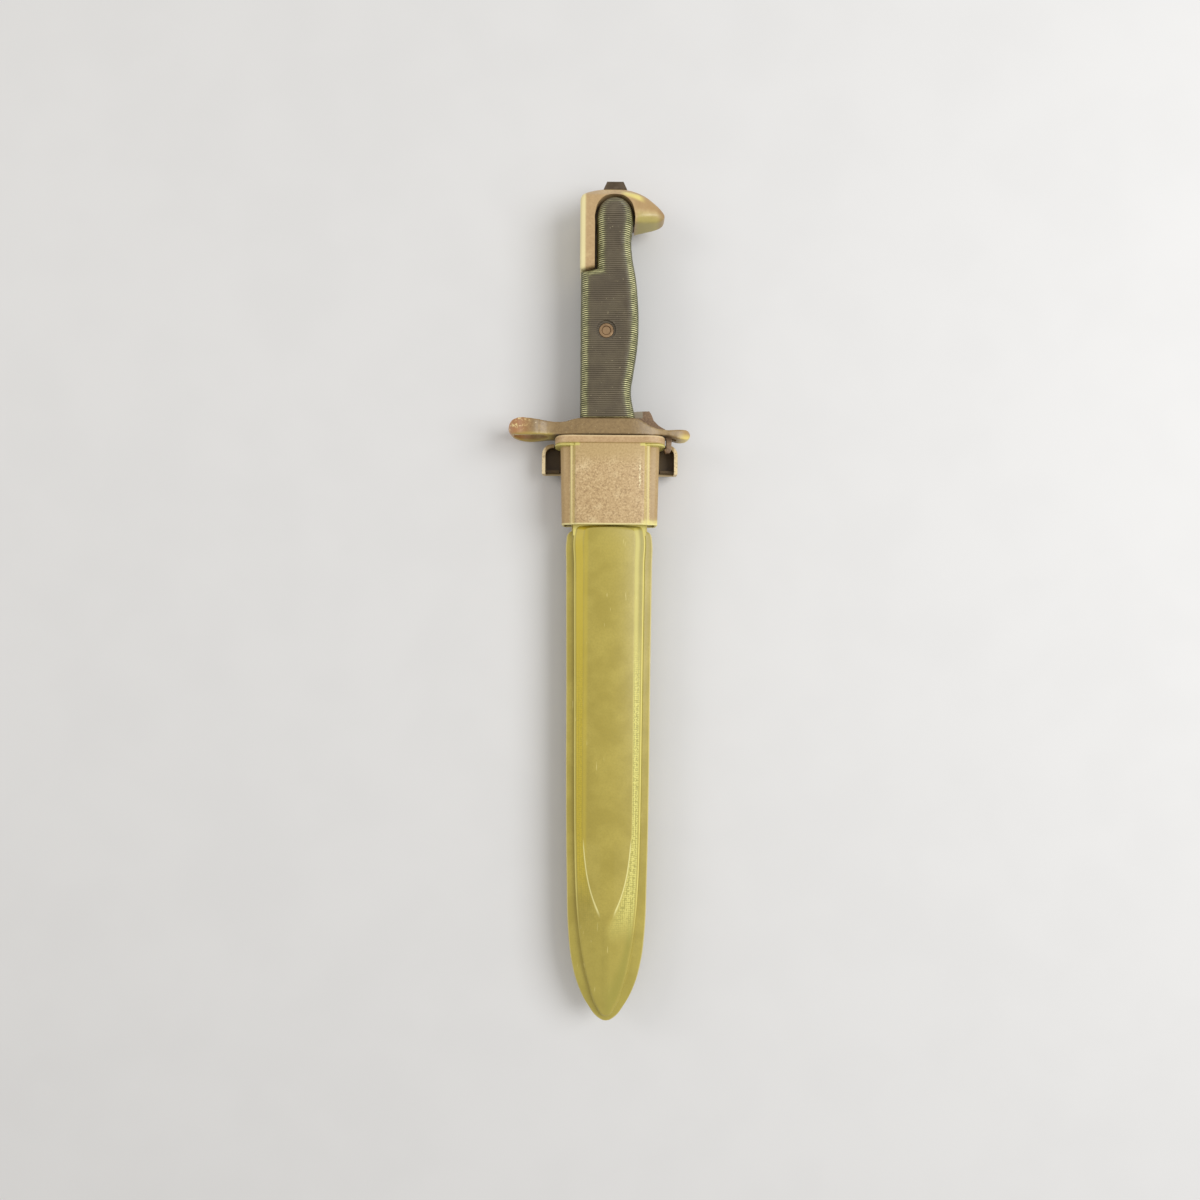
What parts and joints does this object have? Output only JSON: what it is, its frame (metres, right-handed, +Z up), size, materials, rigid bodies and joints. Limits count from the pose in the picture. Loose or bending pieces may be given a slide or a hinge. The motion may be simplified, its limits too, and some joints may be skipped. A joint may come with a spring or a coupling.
{
  "type": "sheathed fixed-blade knife",
  "caption": "Fixed-blade knife with a muzzle ring and hooked pommel in a moulded scabbard; it draws out, its thumb catch rocks a latch, and a wire belt hook swings at the back.",
  "frame": {"origin": "bottom centre of the box, under the middle of the object as it lies on its back", "axes": "+X to the beak side of the pommel, +Y from the blade's tip to the pommel, +Z up, away from the belt hook"},
  "size_m": [0.085, 0.3908, 0.0261],
  "materials": {
    "sheath": "olive-yellow moulded shell, finely mottled, satin",
    "sleeve": "tan-yellow paint over steel, speckled and worn",
    "flange": "pinkish tan paint, edges worn bright",
    "hanger": "tan paint with nicked bright edges",
    "rivets": "dull painted steel",
    "spring_steel": "dark spring steel",
    "hook": "dull grey-brown wire",
    "blade": "dark grey-brown phosphated steel",
    "guard": "brown-bronze finish, orange-brown where worn",
    "pommel": "warm sand finish with bright bevels",
    "grip": "dark olive-brown, fine cross ribs, long edges worn pale",
    "screw": "copper-toned",
    "pins": "dull steel",
    "latch": "dull grey-brown steel",
    "catch": "brown-grey, worn"
  },
  "bodies": {
    "scabbard": {"sheath_front_shell": "sheath", "sheath_back_shell": "sheath", "throat_sleeve": "sleeve", "mouth_flange": "flange", "hanger_plate": "hanger", "hanger_rivets": "rivets", "throat_spring_front": "spring_steel", "throat_spring_back": "spring_steel", "spring_rivets": "rivets"},
    "hook": {"belt_hook": "hook"},
    "knife": {"blade": "blade", "crossguard": "guard", "pommel": "pommel", "grip_front": "grip", "grip_back": "grip", "grip_screw": "screw", "grip_nut": "screw", "catch_pivot_pin": "pins", "latch_pivot_pin": "pins", "latch_spring": "spring_steel"},
    "catch": {"thumb_catch": "catch"},
    "latch": {"latch_bar": "latch"}
  },
  "joints": [
    {"name": "knife_draw", "type": "slide", "parent": "scabbard", "child": "knife", "axis": [0, 1, 0], "range_m": [0, 0.256]},
    {"name": "catch_press", "type": "hinge", "parent": "knife", "child": "catch", "pos_m": [0.0324, 0.07755, 0.0148], "axis": [0, 0, 1], "range_deg": [0, 10], "stiffness_Nm_per_rad": 0.3, "springref_deg": -11.46},
    {"name": "latch_rock", "type": "hinge", "parent": "knife", "child": "latch", "pos_m": [0.0106, 0.13055, 0.0148], "axis": [0, 0, 1], "range_deg": [-3.2, 0], "deforming": ["latch_spring"]},
    {"name": "hook_swing", "type": "hinge", "parent": "scabbard", "child": "hook", "pos_m": [0.005, 0.05905, 0.0024], "axis": [1, 0, 0], "range_deg": [0, 180]}
  ],
  "couplings": [
    {"joint": "latch_rock", "follows": "catch_press", "ratio": -0.316}
  ]
}
